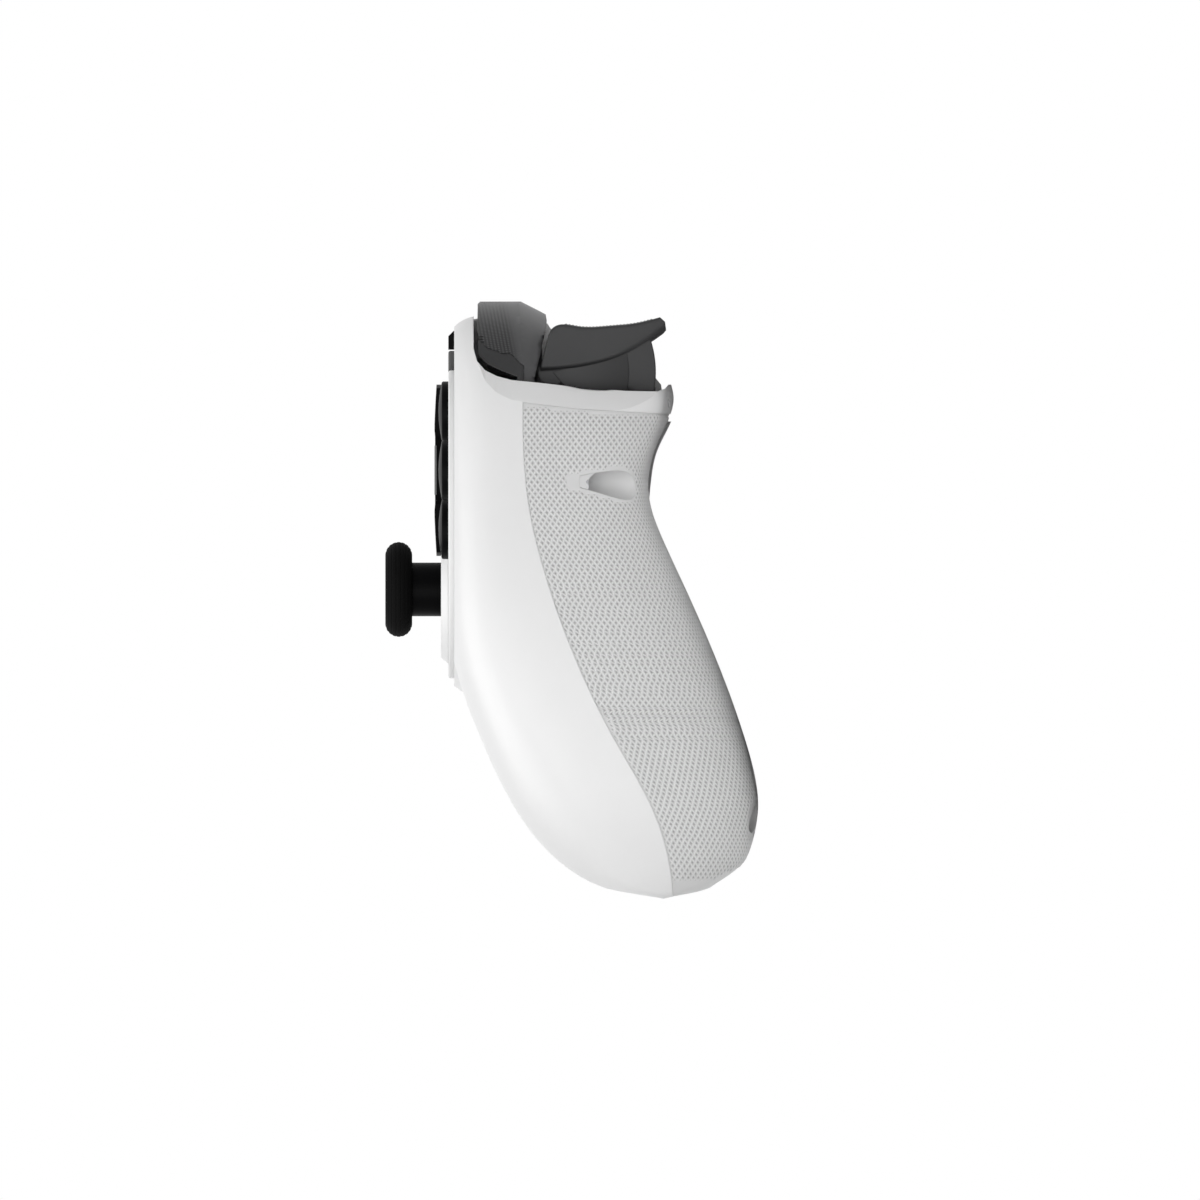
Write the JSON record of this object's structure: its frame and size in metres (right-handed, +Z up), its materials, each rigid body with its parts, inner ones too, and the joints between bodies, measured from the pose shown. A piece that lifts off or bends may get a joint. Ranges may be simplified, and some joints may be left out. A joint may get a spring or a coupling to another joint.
{
  "type": "gamepad",
  "caption": "Full-size wireless gamepad with two level analogue sticks, cross-shaped directional pad, round face buttons, touchpad, bumpers, hinged triggers and pyramid-textured grips.",
  "frame": {"origin": "centre of the bounding box in X and Y, on the surface the pad lies on", "axes": "+X towards the player's right hand, +Y towards the shoulders, +Z up out of the face; the pad lies on its back on the trigger tips and the grip ends"},
  "size_m": [0.16, 0.1086, 0.0582],
  "materials": {
    "white_abs": "fine satin moulded ABS",
    "textured_abs": "moulded with a lattice of small pyramids",
    "charcoal_abs": "satin moulded charcoal ABS",
    "black_gloss": "polished black",
    "dark_inner": "plain inner moulding",
    "black_rubber": "matte thermoplastic rubber with fine rings",
    "silicone": "grey silicone",
    "circuit_board": "solder-masked glass epoxy",
    "steel": "plain steel",
    "tungsten": "sintered heavy metal",
    "battery_wrap": "shrink wrap",
    "socket_shell": "plated steel shell"
  },
  "bodies": {
    "case": {"front_shell": "white_abs", "rear_shell": "textured_abs", "back_plate": "white_abs", "case_screws": "steel", "face_plate": "white_abs", "top_trim": "black_gloss", "left_stick_bezel": "white_abs", "right_stick_bezel": "white_abs", "dpad_bracket": "dark_inner", "button_board": "circuit_board", "main_board": "circuit_board", "board_screws": "steel", "battery_pack": "battery_wrap", "usb_c_socket": "socket_shell", "headset_jack": "dark_inner", "button_membrane": "silicone", "dpad_membrane": "silicone", "left_stick_housing": "dark_inner", "left_trigger_pin": "steel", "left_trigger_spring": "steel", "left_shoulder_frame": "dark_inner", "left_bumper_pin": "steel", "left_bumper_switch": "dark_inner", "left_rumble_motor": "steel", "left_motor_cradle": "dark_inner", "right_stick_housing": "dark_inner", "right_trigger_pin": "steel", "right_trigger_spring": "steel", "right_shoulder_frame": "dark_inner", "right_bumper_pin": "steel", "right_bumper_switch": "dark_inner", "right_rumble_motor": "steel", "right_motor_cradle": "dark_inner"},
    "touchpad": {"touchpad": "black_gloss"},
    "top_button": {"top_button": "black_gloss"},
    "right_button": {"right_button": "black_gloss"},
    "bottom_button": {"bottom_button": "black_gloss"},
    "left_button": {"left_button": "black_gloss"},
    "left_menu_button": {"left_menu_button": "black_gloss"},
    "right_menu_button": {"right_menu_button": "black_gloss"},
    "home_button": {"home_button": "black_gloss"},
    "dpad": {"dpad": "black_gloss"},
    "dpad_gimbal": {"dpad_gimbal": "dark_inner"},
    "left_stick_gimbal": {"left_stick_gimbal": "dark_inner"},
    "left_stick_yoke": {"left_stick_yoke": "dark_inner"},
    "left_stick": {"left_stick_stem": "black_gloss", "left_stick_cap": "black_rubber"},
    "left_trigger": {"left_trigger": "charcoal_abs"},
    "left_bumper": {"left_bumper": "charcoal_abs"},
    "left_rumble_weight": {"left_rumble_weight": "tungsten"},
    "right_stick_gimbal": {"right_stick_gimbal": "dark_inner"},
    "right_stick_yoke": {"right_stick_yoke": "dark_inner"},
    "right_stick": {"right_stick_stem": "black_gloss", "right_stick_cap": "black_rubber"},
    "right_trigger": {"right_trigger": "charcoal_abs"},
    "right_bumper": {"right_bumper": "charcoal_abs"},
    "right_rumble_weight": {"right_rumble_weight": "tungsten"}
  },
  "joints": [
    {"name": "top_button_press", "type": "slide", "parent": "case", "child": "top_button", "axis": [0, -0.1918, -0.9814], "range_m": [0, 0.0012], "stiffness_N_per_m": 400, "springref_m": -0.0008},
    {"name": "right_button_press", "type": "slide", "parent": "case", "child": "right_button", "axis": [0, -0.1918, -0.9814], "range_m": [0, 0.0012], "stiffness_N_per_m": 400, "springref_m": -0.0008},
    {"name": "bottom_button_press", "type": "slide", "parent": "case", "child": "bottom_button", "axis": [0, -0.1918, -0.9814], "range_m": [0, 0.0012], "stiffness_N_per_m": 400, "springref_m": -0.0008},
    {"name": "left_button_press", "type": "slide", "parent": "case", "child": "left_button", "axis": [0, -0.1918, -0.9814], "range_m": [0, 0.0012], "stiffness_N_per_m": 400, "springref_m": -0.0008},
    {"name": "left_menu_button_press", "type": "slide", "parent": "case", "child": "left_menu_button", "axis": [0, -0.1918, -0.9814], "range_m": [0, 0.0006], "stiffness_N_per_m": 400, "springref_m": -0.001},
    {"name": "right_menu_button_press", "type": "slide", "parent": "case", "child": "right_menu_button", "axis": [0, -0.1918, -0.9814], "range_m": [0, 0.0006], "stiffness_N_per_m": 400, "springref_m": -0.001},
    {"name": "home_button_press", "type": "slide", "parent": "case", "child": "home_button", "axis": [0, -0.1918, -0.9814], "range_m": [0, 0.0006], "stiffness_N_per_m": 400, "springref_m": -0.001},
    {"name": "touchpad_click", "type": "hinge", "parent": "case", "child": "touchpad", "pos_m": [0, 0.04651, 0.03706], "axis": [1, 0, 0], "range_deg": [0, 1.2], "stiffness_Nm_per_rad": 1.5, "springref_deg": -2.86},
    {"name": "dpad_tilt_vertical", "type": "hinge", "parent": "case", "child": "dpad_gimbal", "pos_m": [-0.045, 0.02576, 0.03826], "axis": [1, 0, 0], "range_deg": [-3.5, 3.5], "stiffness_Nm_per_rad": 0.15},
    {"name": "dpad_tilt_level", "type": "hinge", "parent": "dpad_gimbal", "child": "dpad", "pos_m": [-0.045, 0.02576, 0.03826], "axis": [0, 0.9814, -0.1918], "range_deg": [-3.5, 3.5], "stiffness_Nm_per_rad": 0.15},
    {"name": "left_bumper_press", "type": "hinge", "parent": "case", "child": "left_bumper", "pos_m": [-0.0204, 0.04434, 0.0275], "axis": [0, 0.1918, 0.9814], "range_deg": [0, 1.5], "stiffness_Nm_per_rad": 1.2, "springref_deg": -4.58},
    {"name": "left_trigger_pull", "type": "hinge", "parent": "case", "child": "left_trigger", "pos_m": [-0.043, 0.03993, 0.02112], "axis": [-1, 0, 0], "range_deg": [0, 17], "stiffness_Nm_per_rad": 0.25, "springref_deg": -20.05},
    {"name": "left_stick_fore_aft", "type": "hinge", "parent": "case", "child": "left_stick_gimbal", "pos_m": [-0.027, 0.00405, 0.03588], "axis": [1, 0, 0], "range_deg": [-16.5, 16.5], "stiffness_Nm_per_rad": 0.06},
    {"name": "left_stick_left_right", "type": "hinge", "parent": "left_stick_gimbal", "child": "left_stick_yoke", "pos_m": [-0.027, 0.00405, 0.03588], "axis": [0, 0.9814, -0.1918], "range_deg": [-16.5, 16.5], "stiffness_Nm_per_rad": 0.06},
    {"name": "left_stick_click", "type": "slide", "parent": "left_stick_yoke", "child": "left_stick", "axis": [0, -0.1918, -0.9814], "range_m": [0, 0.0005], "stiffness_N_per_m": 1500, "springref_m": -0.002},
    {"name": "left_rumble_spin", "type": "hinge", "parent": "case", "child": "left_rumble_weight", "pos_m": [-0.059, -0.01429, 0.02469], "axis": [0, 0.9814, -0.1918], "continuous": true},
    {"name": "right_bumper_press", "type": "hinge", "parent": "case", "child": "right_bumper", "pos_m": [0.0204, 0.04434, 0.0275], "axis": [0, -0.1918, -0.9814], "range_deg": [0, 1.5], "stiffness_Nm_per_rad": 1.2, "springref_deg": -4.58},
    {"name": "right_trigger_pull", "type": "hinge", "parent": "case", "child": "right_trigger", "pos_m": [0.043, 0.03993, 0.02112], "axis": [-1, 0, 0], "range_deg": [0, 17], "stiffness_Nm_per_rad": 0.25, "springref_deg": -20.05},
    {"name": "right_stick_fore_aft", "type": "hinge", "parent": "case", "child": "right_stick_gimbal", "pos_m": [0.027, 0.00405, 0.03588], "axis": [1, 0, 0], "range_deg": [-16.5, 16.5], "stiffness_Nm_per_rad": 0.06},
    {"name": "right_stick_left_right", "type": "hinge", "parent": "right_stick_gimbal", "child": "right_stick_yoke", "pos_m": [0.027, 0.00405, 0.03588], "axis": [0, 0.9814, -0.1918], "range_deg": [-16.5, 16.5], "stiffness_Nm_per_rad": 0.06},
    {"name": "right_stick_click", "type": "slide", "parent": "right_stick_yoke", "child": "right_stick", "axis": [0, -0.1918, -0.9814], "range_m": [0, 0.0005], "stiffness_N_per_m": 1500, "springref_m": -0.002},
    {"name": "right_rumble_spin", "type": "hinge", "parent": "case", "child": "right_rumble_weight", "pos_m": [0.059, -0.01429, 0.02469], "axis": [0, 0.9814, -0.1918], "continuous": true}
  ]
}
